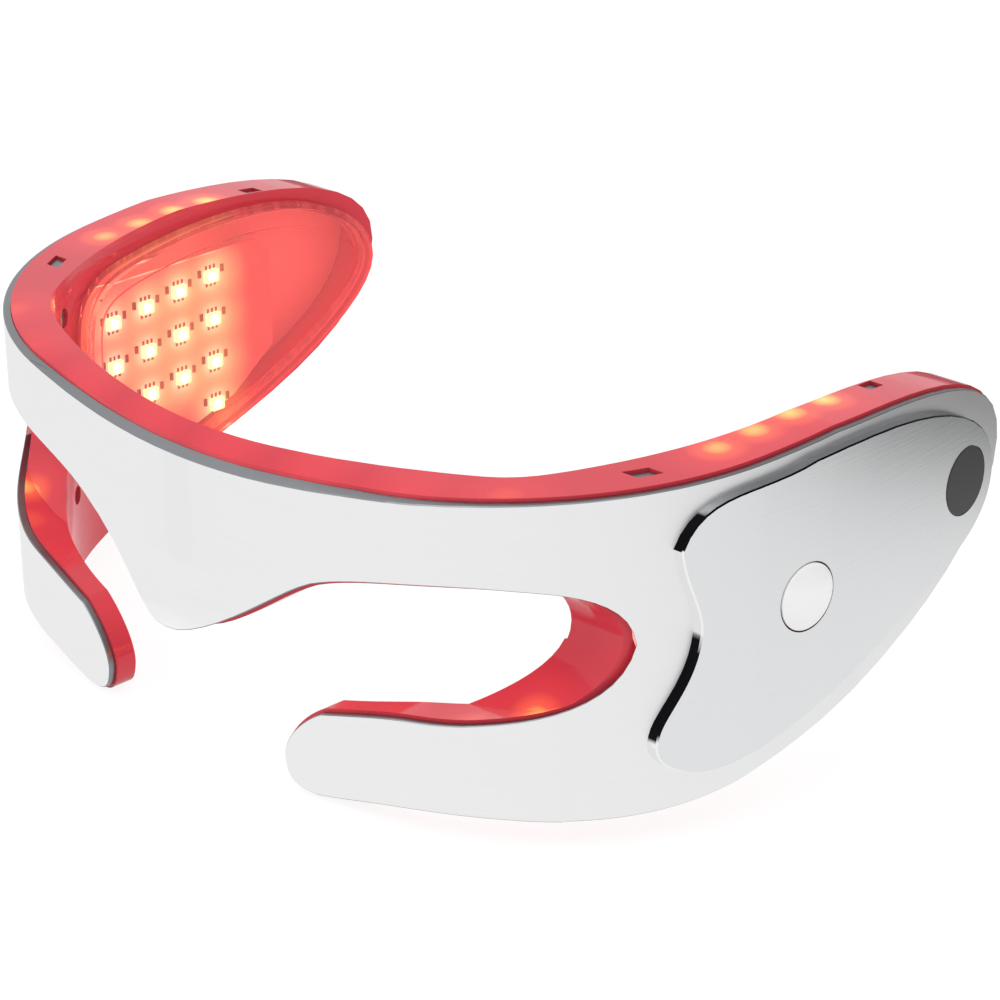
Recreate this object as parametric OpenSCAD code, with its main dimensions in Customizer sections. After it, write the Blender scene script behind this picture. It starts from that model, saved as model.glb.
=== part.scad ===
// Light therapy eye mask: a wrap-round shell with two eye openings, a translucent face liner,
// temple pods with lamp boards behind leaf-shaped windows, and a push button on the left pod.
// Millimetres. The brow faces -Y, +X is the wearer's left, +Z is up.

/* [Overall size] */
// Width over the shell at the temples, without the cover plates
mask_w = 182; // [170:0.5:196]
// Depth from the face of the brow to the rear tip of a temple
mask_d = 117.9; // [108:0.1:130]

/* [Plan curve of the shell] */
// Radius of the corner between brow and temple
corner_r = 55.2; // [45:0.1:70]
// Radius along the temple
side_r = 133.4; // [100:0.1:200]
// Heading where the brow arc ends
brow_turn = 12; // [8:0.1:16]
// Heading where the corner arc ends
corner_turn = 81.1; // [75:0.1:86]
// Heading where the temple arc ends
tail_turn = 93; // [90:0.1:98]
// Radius of the rear end
tail_r = 600; // [300:10:900]

/* [Side outline, depth and height] */
// Top edge over the nose
brow_top_z = 55.4; // [48:0.1:64]
// Pull point that rounds the top edge at the brow
brow_pull = [7.2, 61.5]; // [0:0.1:120]
// Highest point of the top edge
crown = [67.4, 65.4]; // [0:0.1:120]
// Reach of the top curve behind the crown
crown_pull = [18.8, -0.3]; // [-5:0.1:40]
// Height of the rear tip
tip_z = 48.5; // [40:0.1:56]
// Roundness of the rear tip above its point
tip_pull_up = 16.5; // [8:0.1:24]
// Roundness of the rear tip below its point
tip_pull_down = 18.5; // [8:0.1:26]
// Point under the temple where the lower edge starts to climb
heel = [46.8, 7.2]; // [0:0.1:120]
// Pull of the climb behind the heel
heel_pull = [39.4, 9.6]; // [0:0.1:60]
// Pull of the lower edge in front of the heel
heel_pull_front = [-12.7, -2.7]; // [-30:0.1:0]
// Front end of the lower edge on the temple
sole = [20, 4.15]; // [0:0.05:120]

/* [Eye openings, width and height] */
// Lowest point of the nose lobe
nose_z = 24; // [18:0.1:30]
// Pull of the lobe beside its lowest point
nose_pull = [10.5, 23.5]; // [0:0.1:95]
// Pull where the lobe runs out into the brow
nose_out_pull = [25.5, 38.7]; // [0:0.1:95]
// Inner corner of the opening under the brow
eye_in = [33.6, 40.9]; // [0:0.1:95]
// Pulls of the brow's lower edge
brow_edge_in = [39.9, 43.2]; // [0:0.1:95]
// Second pull of the brow's lower edge
brow_edge_out = [56.7, 46.4]; // [0:0.1:95]
// Top of the opening
eye_top = [65.5, 46.2]; // [0:0.1:95]
// Outer end of the opening
eye_end = [81.1, 36.3]; // [0:0.1:95]
// Pulls round the upper outer corner
eye_up_a = [72.2, 46]; // [0:0.1:95]
// Second pull of the upper outer corner
eye_up_b = [80.4, 46.3]; // [0:0.1:95]
// Pulls round the lower outer corner
eye_low_a = [79.6, 25]; // [0:0.1:95]
// Second pull of the lower outer corner
eye_low_b = [71.8, 23.1]; // [0:0.1:95]
// Root of the cheek arm's upper edge
arm_root = [59.5, 20.7]; // [0:0.1:95]
// Pulls of the cheek arm's upper edge
arm_up_a = [47.5, 19]; // [0:0.1:95]
// Second pull of the cheek arm's upper edge
arm_up_b = [52.4, 21.05]; // [0:0.05:95]
// Shoulder of the cheek arm's tip
arm_shoulder = [32.6, 16]; // [0:0.1:95]
// Pulls of the arm tip above its end
arm_tip_a = [28.3, 13.6]; // [0:0.1:95]
// Second pull of the arm tip above its end
arm_tip_b = [24, 8.9]; // [0:0.1:95]
// End of the cheek arm
arm_end = [24.2, 5.2]; // [0:0.1:95]
// Pulls of the arm tip below its end
arm_tip_c = [24.7, 1.2]; // [0:0.1:95]
// Second pull of the arm tip below its end
arm_tip_d = [26, 0]; // [-1:0.1:95]
// Lowest point of the cheek arm
arm_foot = [31.3, 0]; // [0:0.1:95]
// Pulls of the cheek arm's lower edge
arm_low_a = [39.9, 1.1]; // [0:0.1:95]
// Second pull of the cheek arm's lower edge
arm_low_b = [46.3, 3.7]; // [0:0.1:95]
// Outer end of the cheek arm's lower edge
arm_heel = [65.4, 4]; // [0:0.1:95]

/* [Shell] */
// Wall of the shell
shell_t = 1.4; // [1:0.1:2.4]
// Height where the nose lobe starts to curl forward
flare_z = 36.2; // [30:0.1:40]
// Radius of the nose lobe's forward curl
flare_r = 19.6; // [14:0.1:30]

/* [Cover plates] */
// Thickness of a cover plate
plate_t = 1.8; // [1:0.1:2.5]
// Upper front corner of the plate
plate_nose = [34, 52.6]; // [0:0.1:120]
// Top of the plate
plate_top = [60.3, 62.7]; // [0:0.1:120]
// Rear tip of the plate
plate_tip = [113.6, 45.5]; // [0:0.1:120]
// Lower edge of the plate at the rear
plate_under = [98, 30]; // [0:0.1:120]
// Lower front of the plate
plate_toe = [44.2, 11.9]; // [0:0.1:120]
// Front edge of the plate at its lowest bulge
plate_bulge = [30.7, 19.5]; // [0:0.1:120]
// Waist of the plate's curved front edge
plate_waist = [37.4, 36.9]; // [0:0.1:120]

/* [Face liner] */
// Wall of the liner
liner_t = 1.4; // [1:0.1:2]
// Wall of the liner on the side of the face
liner_face_t = 1.2; // [0.8:0.1:2]
// How far the liner stands proud of the shell's edge
lip_proud = 0.6; // [0.2:0.1:1.5]
// Play between the shell and the liner
liner_gap = 0.1; // [0.05:0.05:0.4]
// Depth of the temple faces under the shell's widest point
pod_depth = 11.25; // [10:0.05:13]
// Depth of the temple faces' arc centre behind the brow
temple_c_y = 71.8; // [60:0.1:80]
// How much smaller the radius of the temple faces is than the shell's
temple_tighter = 50.4; // [30:0.1:60]
// Radius of the liner's corner behind the brow
brow_corner_r = 22; // [16:0.5:40]
// Headings where that corner starts and ends
brow_corner_turn = [25, 56]; // [10:0.5:80]
// Radius of the liner's corner in the cheek arms
arm_corner_r = 50; // [40:0.5:70]
// Headings where that corner starts and ends
arm_corner_turn = [9, 65]; // [5:0.5:80]
// Heading where the temple faces' arc ends
liner_tail_turn = 91; // [90:0.1:96]
// Height that parts the brow's section from the arms' section
section_z = 33; // [30:0.5:36]

/* [Temple windows] */
// How far a window stands in from the liner
window_h = 4; // [2:0.1:6]
// Wall of a window's rim
window_t = 1.4; // [1:0.1:2]
// Width of a window's seat on the liner
window_seat = 1.8; // [1.5:0.1:3]
// Web of a window behind its recess
window_web = 1.2; // [0.8:0.1:2]
// Depth of the recess in the window's face
window_recess = 0.8; // [0.3:0.1:1.5]
// Width of the raised border round the recess
window_border = 4.5; // [3:0.1:7]
// Set back of the window's face edge
window_step = 1; // [0.5:0.1:2]
// Front of a window
window_front = [33, 44]; // [0:0.1:120]
// Upper front corner of a window
window_brow = [50, 60.5]; // [0:0.1:120]
// Top of a window
window_top = [84, 62.8]; // [0:0.1:120]
// Rear tip of a window
window_tip = [116, 46]; // [0:0.1:120]
// Lower edge of a window
window_under = [66, 14]; // [0:0.1:120]

/* [Button and switch] */
// Heading of the button on the temple arc
button_turn = 84.9; // [82:0.1:90]
// Height of the button
button_z = 38.4; // [30:0.1:46]
// Radius of the button's cap
button_r = 6; // [4:0.1:9]
// Rise of the button's dome
dome_rise = 2.2; // [1:0.1:4]
// Gap round the button
button_gap = 0.3; // [0.3:0.05:0.6]
// Radius of the button's retaining flange
flange_r = 7.4; // [6.5:0.1:9]
// Thickness of the flange
flange_t = 0.8; // [0.5:0.1:1.5]
// Gap between the flange and the shell
flange_gap = 0.4; // [0.3:0.05:1]
// Length of the button's stem behind the flange
stem_l = 1.4; // [1:0.1:3]
// Radius of the stem
stem_r = 1.6; // [1:0.1:3]
// Gap between the stem and the switch's plunger
stem_gap = 0.3; // [0.3:0.05:0.6]
// Travel of the button
button_travel = 0.6; // [0.3:0.05:1.2]
// Radius of the switch's plunger
plunger_r = 1.5; // [1:0.05:2]
// Length of the plunger
plunger_l = 1.4; // [1:0.1:3]
// Running clearance of the plunger
plunger_fit = 0.05; // [0.02:0.01:0.1]
// Length of the plunger outside the switch
plunger_out = 0.9; // [0.7:0.1:2]
// Side of the square switch
switch_w = 6.2; // [5:0.1:12]
// Height of the switch's body
switch_h = 2; // [1.8:0.1:4]
// Length and height of the control board
control_size = [27, 20]; // [10:0.5:40]
// Thickness of the circuit boards
board_t = 0.8; // [0.6:0.1:1.6]

/* [Side disc] */
// Heading of the disc on the rear end
disc_turn = 95.5; // [94:0.1:97]
// Height of the disc
disc_z = 45.2; // [40:0.1:50]
// Radius of the disc
disc_r = 6.4; // [4:0.1:8]
// Thickness of the disc
disc_t = 0.7; // [0.4:0.05:1]
// How far the disc stands proud of the plate
disc_proud = 0.1; // [0:0.05:0.4]
// Play round the disc
disc_gap = 0.1; // [0.05:0.05:0.3]

/* [Lamp boards] */
// Heading of the flat lamp board on the temple arc
board_turn = 88.5; // [85:0.1:92]
// Depth of the lamp board's back under the shell's face
board_depth = 9.6; // [8:0.1:11]
// Front and rear ends of the lamp board
board_ends = [43, 92.5]; // [30:0.5:110]
// Lower and upper edges of the lamp board
board_edges = [17.5, 54.5]; // [10:0.5:60]
// Size of the board's cut corners
board_corner = 3.5; // [1:0.5:6]
// Lamp at the rear of the top row
lamp_ref = [75.6, 49.8]; // [0:0.1:110]
// Pitch of the lamps along the board and down it
lamp_pitch = [8.9, 9.4]; // [6:0.1:14]
// Rise of a lamp row from one column to the next
lamp_row_rise = 1.1; // [0:0.1:3]
// Size of a lamp along, up and out of its board
lamp_size = [3.5, 2.8, 0.9]; // [0.5:0.1:6]
// Size of a chip resistor along, up and out of its board
chip_size = [0.8, 1.6, 0.45]; // [0.3:0.05:3]
// Distance of a chip resistor from the middle of its lamp
chip_reach = 3.1; // [2.4:0.1:5]

/* [Lamp strips] */
// Thickness of a flexible strip
strip_t = 0.3; // [0.15:0.05:0.6]
// Solder under the middle of a lamp on a curved strip
solder_t = 0.05; // [0.03:0.01:0.1]
// Lower and upper edges of the brow's strip
brow_strip_z = [48.2, 52.8]; // [44:0.1:56]
// Where the brow's strip ends, behind the brow
brow_strip_end = 37; // [25:0.5:45]
// Lower and upper edges of the strips in the cheek arms
cheek_strip_z = [7.4, 12]; // [5:0.1:16]
// Where the cheek strips start, from the middle plane
cheek_strip_start = 29; // [27:0.5:40]
// Where the cheek strips end, behind the brow
cheek_strip_end = 24; // [15:0.5:40]

/* [Battery and charging socket] */
// Size of the cell along, up and across
cell_size = [34, 21, 4.4]; // [3:0.1:60]
// Middle of the cell, height
cell_z = 38; // [30:0.5:46]
// Depth of the cell's back under the shell's face
cell_depth = 2.6; // [2:0.1:4]
// Size of the foam pad along, up and across
foam_size = [14, 17, 0.9]; // [0.5:0.1:30]
// Width, thickness and length of the charging socket
socket_size = [9, 3.3, 7.4]; // [2:0.1:12]
// Middle of the socket's mouth, depth and height
socket_at = [76.2, 15.5]; // [0:0.1:120]
// Slope of the lower edge at the socket
socket_tilt = 20.5; // [0:0.5:40]
// Depth of the socket's middle under the shell's face
socket_depth = 5; // [4:0.1:7]
// Sheet of the socket's metal mouth
socket_t = 0.3; // [0.2:0.05:0.6]

/* [Screws and hooks] */
// Heading of the corner screws
screw_turn = 47; // [40:0.5:60]
// Heights of the lower and upper screws
screw_z = [19, 56]; // [5:0.1:58]
// Radius and length of a screw's shank
screw_shank = [0.8, 5.7]; // [0.5:0.1:10]
// Radius and height of a screw's head
screw_head = [1.7, 1]; // [0.5:0.1:4]
// Depth of the screw seat under the shell's face
screw_seat = 9.2; // [8:0.1:10]
// Radius of the shell's screw post
post_r = 2.4; // [1.8:0.1:3.5]
// Depth where the shell's post meets the liner's boss
post_end = 7.5; // [5:0.1:8.5]
// Places of the snap hooks behind the brow
hook_y = [34.5, 88]; // [25:0.5:100]
// Depths of the snap hooks' noses under the shell's face
hook_depth = [6.6, 9]; // [5:0.1:10]
// Length, thickness and nose width of a snap hook
hook_size = [4, 1.2, 2.4]; // [1:0.1:8]

/* [Hidden] */
$fn = 96;
half_w = mask_w / 2;
// Points along one curve of an outline
steps = 12;
// Reach of cutting bodies past the part
past = 12;
tall = crown[1] + past;

// Points and radii are kept to whole ten-thousandths, so that neighbours share their ends
function near(v) = [for (x = v) round(x * 10000) / 10000];
function dir(a) = [sin(a), -cos(a)];

// Arcs of the shell's outer plan curve, each [centre, radius, first heading, last heading]
brow_span = half_w - corner_r * (sin(corner_turn) - sin(brow_turn)) - side_r * (1 - sin(corner_turn));
brow_r = round(1000 * brow_span / sin(brow_turn)) / 1000;
brow_c = [0, brow_r];
corner_c = near(brow_c + (brow_r - corner_r) * dir(brow_turn));
side_c = near(corner_c + (corner_r - side_r) * dir(corner_turn));
tail_c = near(side_c + (side_r - tail_r) * dir(tail_turn));
shell_arcs = [
    [brow_c, brow_r, 0, brow_turn],
    [corner_c, corner_r, brow_turn, corner_turn],
    [side_c, side_r, corner_turn, tail_turn],
    [tail_c, tail_r, tail_turn, tail_turn + 6]
];

// Arcs of the liner's face, led from the temple arc back to the middle plane
temple_r = side_r - temple_tighter;
temple_c = [half_w - pod_depth - temple_r, temple_c_y];
function face_arcs(r, turn) = let (
    c = near(temple_c + (temple_r - r) * dir(turn[1])),
    front_r = round(1000 * (r + c[0] / sin(turn[0]))) / 1000,
    front_c = near([0, c[1] + (front_r - r) * cos(turn[0])]),
    rear_c = near(temple_c + (temple_r - tail_r) * dir(liner_tail_turn))
) [
    [front_c, front_r, 0, turn[0]],
    [c, r, turn[0], turn[1]],
    [temple_c, temple_r, turn[1], liner_tail_turn],
    [rear_c, tail_r, liner_tail_turn, liner_tail_turn + 6]
];
brow_face = face_arcs(brow_corner_r, brow_corner_turn);
arm_face = face_arcs(arm_corner_r, arm_corner_turn);

// The origin is under the middle of the whole part
plate_half_w = half_w + plate_t;
dome_x = side_c[0] + (side_r + plate_t + dome_rise) * sin(button_turn);
flare_reach = flare_r - sqrt(pow(flare_r, 2) - pow(flare_z - nose_z, 2));
shift = [-(dome_x - plate_half_w) / 2, -(mask_d + lip_proud - flare_reach) / 2, lip_proud];

// Depths of the button's parts under the shell's face
flange_top = shell_t + flange_gap;
stem_top = flange_top + flange_t;
plunger_top = stem_top + stem_l + stem_gap;
switch_top = plunger_top + plunger_out;
control_top = switch_top + switch_h;
dome_r = (pow(button_r, 2) + pow(dome_rise, 2)) / (2 * dome_rise);

// Points of one cubic curve, without its last point
function curve(a, b, c, d) = [for (i = [0:steps - 1]) let (t = i / steps, u = 1 - t)
    u * u * u * a + 3 * t * u * u * b + 3 * t * t * u * c + t * t * t * d];

// A closed outline moved inwards by d; outlines run anticlockwise
function inset(p, d) = [for (i = [0:len(p) - 1]) let (
    v = p[(i + 1) % len(p)] - p[(i + len(p) - 1) % len(p)],
    n = [-v[1], v[0]] / norm(v)) p[i] + d * n];

rear_tip = [mask_d, tip_z];
side_outline = concat(
    [[-past, -past / 2.5]],
    curve(sole, sole + [6, 0.2], heel + heel_pull_front, heel),
    curve(heel, heel + heel_pull, rear_tip - [0.7, tip_pull_down], rear_tip),
    curve(rear_tip, rear_tip + [0.5, tip_pull_up], crown + crown_pull, crown),
    curve(crown, brow_pull, brow_pull, [0, brow_top_z]),
    [[0, brow_top_z], [-past, brow_top_z - past]]
);

// What is cut away between the arms, round the nose and out of the eye openings
half_opening = concat(
    curve([0, nose_z], nose_pull, nose_out_pull, eye_in),
    curve(eye_in, brow_edge_in, brow_edge_out, eye_top),
    curve(eye_top, eye_up_a, eye_up_b, eye_end),
    curve(eye_end, eye_low_a, eye_low_b, arm_root),
    curve(arm_root, arm_up_a, arm_up_b, arm_shoulder),
    curve(arm_shoulder, arm_tip_a, arm_tip_b, arm_end),
    curve(arm_end, arm_tip_c, arm_tip_d, arm_foot),
    curve(arm_foot, arm_low_a, arm_low_b, arm_heel),
    [arm_heel, [half_w + past, arm_heel[1]], [half_w + past, -past]]
);
// The halves meet at the lobe's lowest point, which is kept once
opening_outline = concat(
    [for (i = [len(half_opening) - 1:-1:0]) half_opening[i]],
    [for (i = [1:len(half_opening) - 1]) [-half_opening[i][0], half_opening[i][1]]]
);

// The wall behind the outer end of an eye opening, seen from the side
wall_low = [14, 17.5];
wall_end = [28.6, 36.5];
wall_high = [14, 47];
eye_wall = concat(
    [[-past, -past], [40, -past], [40, 12]],
    curve(wall_low, [20, 24], wall_end - [0, 8], wall_end),
    curve(wall_end, wall_end + [0, 5.5], wall_high + [10, -0.5], wall_high),
    [wall_high, [-past, wall_high[1]]]
);

plate_outline = concat(
    curve(plate_bulge, plate_bulge - [1.7, 6.5], plate_toe - [7.2, 1.3], plate_toe),
    curve(plate_toe, plate_toe + [13.8, 2.1], plate_under - [12, 4.4], plate_under),
    curve(plate_under, plate_under + [10, 3.5], plate_tip - [-0.2, 7.5], plate_tip),
    curve(plate_tip, plate_tip + [-0.6, 12.2], plate_top + [30, 2.3], plate_top),
    curve(plate_top, plate_top - [12.5, 2.6], plate_nose + [3.5, 10.9], plate_nose),
    curve(plate_nose, plate_nose + [0.6, -6.6], plate_waist + [0.6, 4.6], plate_waist),
    curve(plate_waist, plate_waist - [0.9, 8.4], plate_bulge + [0.8, 4.5], plate_bulge)
);

window_outline = concat(
    curve(window_front, window_front - [0, 24], window_under - [16, 4.5], window_under),
    curve(window_under, window_under + [24, 7], window_tip - [0, 10], window_tip),
    curve(window_tip, window_tip + [0, 10], window_top + [18, -0.2], window_top),
    curve(window_top, window_top - [10, -0.1], window_brow + [14, 1], window_brow),
    curve(window_brow, window_brow - [14, 1], window_front + [0, 12], window_front)
);

board_outline = [
    [board_ends[0], board_edges[0] + 12],
    [board_ends[0] + 14, board_edges[0]],
    [board_ends[0] + 24, board_edges[0]],
    [board_ends[1] - 11.5, board_edges[0] + 4.6],
    [board_ends[1], board_edges[0] + 13],
    [board_ends[1], board_edges[1] - board_corner],
    [board_ends[1] - board_corner, board_edges[1]],
    [board_ends[0] + board_corner, board_edges[1]],
    [board_ends[0], board_edges[1] - board_corner]
];

// A point on the line between two arcs, the same for both
function seam(arc, turn, deep) = near(arc[0] + (arc[1] - deep) * dir(turn));

// One arc of a band between the depths a and b, cut off along the lines it shares with its neighbours
module sector(arc, a, b, ends) {
    intersection() {
        translate(arc[0]) difference() {
            circle(arc[1] - a, $fn = 360);
            if (arc[1] > b) circle(arc[1] - b, $fn = 360);
        }
        polygon(ends);
    }
}

// The plan of a layer of the mask between the depths a and b inside a chain of arcs
module band(arcs, a, b) {
    low = min(b + 1, arcs[1][1] - 0.5);
    out = [for (arc = arcs) seam(arc, arc[3], a - past)];
    in = [for (arc = arcs) seam(arc, arc[3], low)];
    sector(arcs[0], a, b, [in[0], out[0], [0, -2 * past], [-out[0][0], out[0][1]], [-in[0][0], in[0][1]]]);
    for (side = [0, 1]) mirror([side, 0]) {
        sector(arcs[1], a, b, [in[0], out[0], [out[1][0], out[0][1]], out[1], in[1]]);
        sector(arcs[2], a, b, [in[1], out[1], out[2], in[2]]);
        sector(arcs[3], a, b, [in[2], out[2], out[3], in[3]]);
    }
}

module wall(arcs, a, b) {
    translate([0, 0, -past]) linear_extrude(tall + past) band(arcs, a, b);
}

// An outline seen from the side, run right across the part
module across(outline) {
    rotate([90, 0, 90]) linear_extrude(2 * (half_w + past), center = true) polygon(outline);
}

// An outline seen from the front, run back to a given depth
module back_to(y, outline) {
    translate([0, y, 0]) rotate([90, 0, 0]) linear_extrude(y + past) polygon(outline);
}

// A frame on the shell's face: X runs rearwards, Y up and Z out of the shell
module on_arc(arc, turn, z) {
    p = arc[0] + arc[1] * dir(turn);
    translate([p[0], p[1], z]) rotate([90, 0, turn]) children();
}

module on_side(turn, z) {
    on_arc(shell_arcs[2], turn, z) children();
}

module at_disc() {
    on_arc(shell_arcs[3], disc_turn, disc_z) children();
}

module at_button() {
    on_side(button_turn, button_z) children();
}

module at_screws() {
    for (side = [0, 1], z = screw_z) mirror([side, 0, 0]) on_arc(shell_arcs[1], screw_turn, z) children();
}

// A round piece between two depths under the face
module plug(r, deep, shallow) {
    translate([0, 0, -deep]) cylinder(h = deep - shallow, r = r);
}

module slice(y, w) {
    translate([-half_w - past, y - w / 2, 0]) cube([2 * (half_w + past), w, tall]);
}

// Hooks reach in under the liner's top wall and up through its slots
module hooks(i) {
    d = hook_depth[i];
    intersection() {
        wall(shell_arcs, shell_t / 2, d + hook_size[2] / 2);
        difference() {
            across(inset(side_outline, liner_t - lip_proud + 0.3));
            across(inset(side_outline, liner_t - lip_proud + 0.3 + hook_size[1]));
        }
        slice(hook_y[i], hook_size[0]);
        upper_half();
    }
    intersection() {
        wall(shell_arcs, d - hook_size[2] / 2, d + hook_size[2] / 2);
        difference() {
            across(side_outline);
            across(inset(side_outline, liner_t - lip_proud + 0.3 + hook_size[1]));
        }
        slice(hook_y[i], hook_size[0] - 0.6);
        upper_half();
    }
}

module upper_half() {
    translate([-half_w - past, 0, tip_z]) cube([2 * (half_w + past), mask_d, tall]);
}

module nose_lobe() {
    span = brow_turn / 1.5;
    drop = flare_z - nose_z + 1;
    root = [shell_t / 4, 2];
    difference() {
        translate([0, brow_r, 0]) rotate([0, 0, -90 - span]) rotate_extrude(angle = 2 * span) {
            intersection() {
                translate([brow_r + flare_r, flare_z]) difference() {
                    circle(flare_r + shell_t);
                    circle(flare_r);
                }
                translate([brow_r - shell_t, flare_z - drop]) square([flare_r, drop]);
            }
            translate([brow_r - shell_t + root[0], flare_z - root[0]])
                square([shell_t - 2 * root[0], root[0] + root[1]]);
        }
        back_to(half_w, opening_outline);
    }
}

// Posts that carry the two flat lamp boards, clear of the cell and the control board
module board_posts() {
    for (side = [0, 1], p = [[-14, 25], [-18, 51.8], [21, 32], [21, 50]]) mirror([side, 0, 0])
        on_side(board_turn, p[1]) translate([p[0], 0, 0]) plug(1.4, board_depth, shell_t / 2);
}

module control_posts() {
    for (x = [-1, 1], z = [-1, 1]) at_button()
        translate([x * (control_size[0] / 2 - 2), z * (control_size[1] / 2 - 2), 0])
            plug(1.2, control_top, shell_t / 2);
}

module outer_shell() {
    color([0.94, 0.94, 0.94]) translate(shift) {
        difference() {
            union() {
                intersection() {
                    wall(shell_arcs, 0, shell_t);
                    across(side_outline);
                }
                intersection() {
                    union() {
                        at_screws() plug(post_r, post_end, shell_t / 2);
                        board_posts();
                        control_posts();
                        hooks(0);
                        hooks(1);
                    }
                    wall(shell_arcs, shell_t / 2, 14);
                }
            }
            back_to(wall_end[0] + 6, opening_outline);
            translate([-29, -past, arm_shoulder[1] + 1])
                cube([58, 2 * past, flare_z - arm_shoulder[1] - 1]);
            at_button() plug(button_r + button_gap, shell_t * 2, -past);
            at_screws() plug(screw_shank[0] + 0.05, post_end + 1, shell_t + 1);
        }
        nose_lobe();
    }
}

// The liner's outer form, or the hollow inside it when the walls are taken off
module liner_form(off, face_off, out) {
    for (upper = [true, false]) {
        faces = upper ? brow_face : arm_face;
        z0 = upper ? section_z : -past;
        z1 = upper ? tall : section_z;
        intersection() {
            difference() {
                translate([0, 0, z0]) linear_extrude(z1 - z0) difference() {
                    band(shell_arcs, out, 20);
                    band(faces, -face_off, 20);
                }
                intersection() {
                    back_to(half_w, inset(opening_outline, -off));
                    across(inset(eye_wall, -off));
                }
            }
            across(inset(side_outline, off));
        }
    }
}

module face_liner() {
    color([0.9, 0.3, 0.33, 0.75]) translate(shift) difference() {
        liner_form(-lip_proud, 0, shell_t + liner_gap);
        difference() {
            liner_form(liner_t - lip_proud, liner_face_t, shell_t - 1);
            at_screws() plug(post_r, 16, post_end);
        }
        window_hole();
        at_screws() {
            plug(screw_head[0] + 0.2, 20, screw_seat);
            plug(screw_shank[0] + 0.15, 20, 0);
        }
        for (i = [0, 1]) intersection() {
            wall(shell_arcs, hook_depth[i] - hook_size[2] / 2 - 0.3, hook_depth[i] + hook_size[2] / 2 + 0.3);
            slice(hook_y[i], hook_size[0]);
            upper_half();
        }
        at_socket() translate([0, 0, -2]) linear_extrude(5) socket_mouth(0.1);
    }
}

module window_hole() {
    intersection() {
        wall(brow_face, -liner_face_t - 1, 1);
        across(inset(window_outline, window_seat));
    }
}

module temple_window() {
    top = window_h - window_recess;
    difference() {
        union() {
            intersection() {
                wall(brow_face, 0, window_h - window_step);
                across(window_outline);
                left_half();
            }
            intersection() {
                wall(brow_face, window_h - window_step, window_h);
                across(inset(window_outline, window_step));
                left_half();
            }
        }
        intersection() {
            wall(brow_face, -1, top - window_web);
            across(inset(window_outline, window_t));
        }
        intersection() {
            wall(brow_face, top, window_h + 1);
            across(inset(window_outline, window_border));
        }
    }
}

module left_half() {
    translate([past, 0, 0]) cube([half_w, mask_d + past, tall]);
}

module left_temple_window() {
    color([0.93, 0.33, 0.36, 0.6]) translate(shift) temple_window();
}

module right_temple_window() {
    color([0.93, 0.33, 0.36, 0.6]) translate(shift) mirror([1, 0, 0]) temple_window();
}

module cover_plate() {
    intersection() {
        wall(shell_arcs, -plate_t, 0);
        across(plate_outline);
        left_half();
    }
}

module left_cover_plate() {
    color([0.72, 0.73, 0.75]) translate(shift) difference() {
        cover_plate();
        at_button() plug(button_r + button_gap, 1, -past);
        at_disc() plug(disc_r + disc_gap, disc_t - disc_proud - plate_t, -past);
    }
}

module right_cover_plate() {
    color([0.72, 0.73, 0.75]) translate(shift) mirror([1, 0, 0]) cover_plate();
}

module side_disc() {
    color([0.29, 0.29, 0.3]) translate(shift) at_disc()
        plug(disc_r, disc_t - disc_proud - plate_t, -plate_t - disc_proud);
}

module power_button() {
    color([0.96, 0.96, 0.96]) translate(shift) at_button() {
        plug(button_r, flange_top, -plate_t);
        plug(flange_r, stem_top, flange_top);
        plug(stem_r, stem_top + stem_l, stem_top);
        translate([0, 0, plate_t]) rotate_extrude() intersection() {
            translate([0, dome_rise - dome_r]) circle(dome_r);
            square([button_r, dome_rise]);
        }
    }
}

module switch_plunger() {
    color([0.15, 0.15, 0.16]) translate(shift) at_button()
        plug(plunger_r, plunger_top + plunger_l, plunger_top);
}

module switch_body() {
    color([0.2, 0.2, 0.21]) translate(shift) at_button() difference() {
        translate([-switch_w / 2, -switch_w / 2, -control_top]) cube([switch_w, switch_w, switch_h]);
        plug(plunger_r + plunger_fit, plunger_top + plunger_l + button_travel + 0.1, 0);
    }
}

module control_board() {
    color([0.1, 0.35, 0.2]) translate(shift) at_button()
        translate([-control_size[0] / 2, -control_size[1] / 2, -control_top - board_t])
            cube([control_size[0], control_size[1], board_t]);
}

module led_board() {
    intersection() {
        across(board_outline);
        on_side(board_turn, 0) translate([-half_w, 0, -board_depth - board_t])
            cube([2 * half_w, tall, board_t]);
    }
}

module left_led_board() {
    color([0.9, 0.88, 0.82]) translate(shift) led_board();
}

module right_led_board() {
    color([0.9, 0.88, 0.82]) translate(shift) mirror([1, 0, 0]) led_board();
}

// The twelve lamps of a board: two in the first column and four in the last
module at_lamps() {
    mid = side_c[1] - side_r * cos(board_turn);
    for (col = [0:3], row = [0:min(col + 1, 3)])
        if (!(col == 2 && row == 3))
            on_side(board_turn, lamp_ref[1] - (3 - col) * lamp_row_rise - row * lamp_pitch[1])
                translate([lamp_ref[0] - mid - (3 - col) * lamp_pitch[0], 0, -board_depth - board_t])
                    children();
}

module chip(size) {
    translate([-size[0] / 2, -size[1] / 2, -size[2]]) cube(size);
}

module left_temple_leds() {
    color([1, 0.95, 0.7]) translate(shift) at_lamps() chip(lamp_size);
}

module right_temple_leds() {
    color([1, 0.95, 0.7]) translate(shift) mirror([1, 0, 0]) at_lamps() chip(lamp_size);
}

module board_resistors() {
    color([0.3, 0.1, 0.14]) translate(shift) for (side = [0, 1]) mirror([side, 0, 0])
        at_lamps() for (x = [-chip_reach, chip_reach]) translate([x, 1, 0]) chip(chip_size);
}

module strip(edges) {
    translate([0, 0, edges[0]]) linear_extrude(edges[1] - edges[0])
        band(shell_arcs, shell_t, shell_t + strip_t);
}

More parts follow.
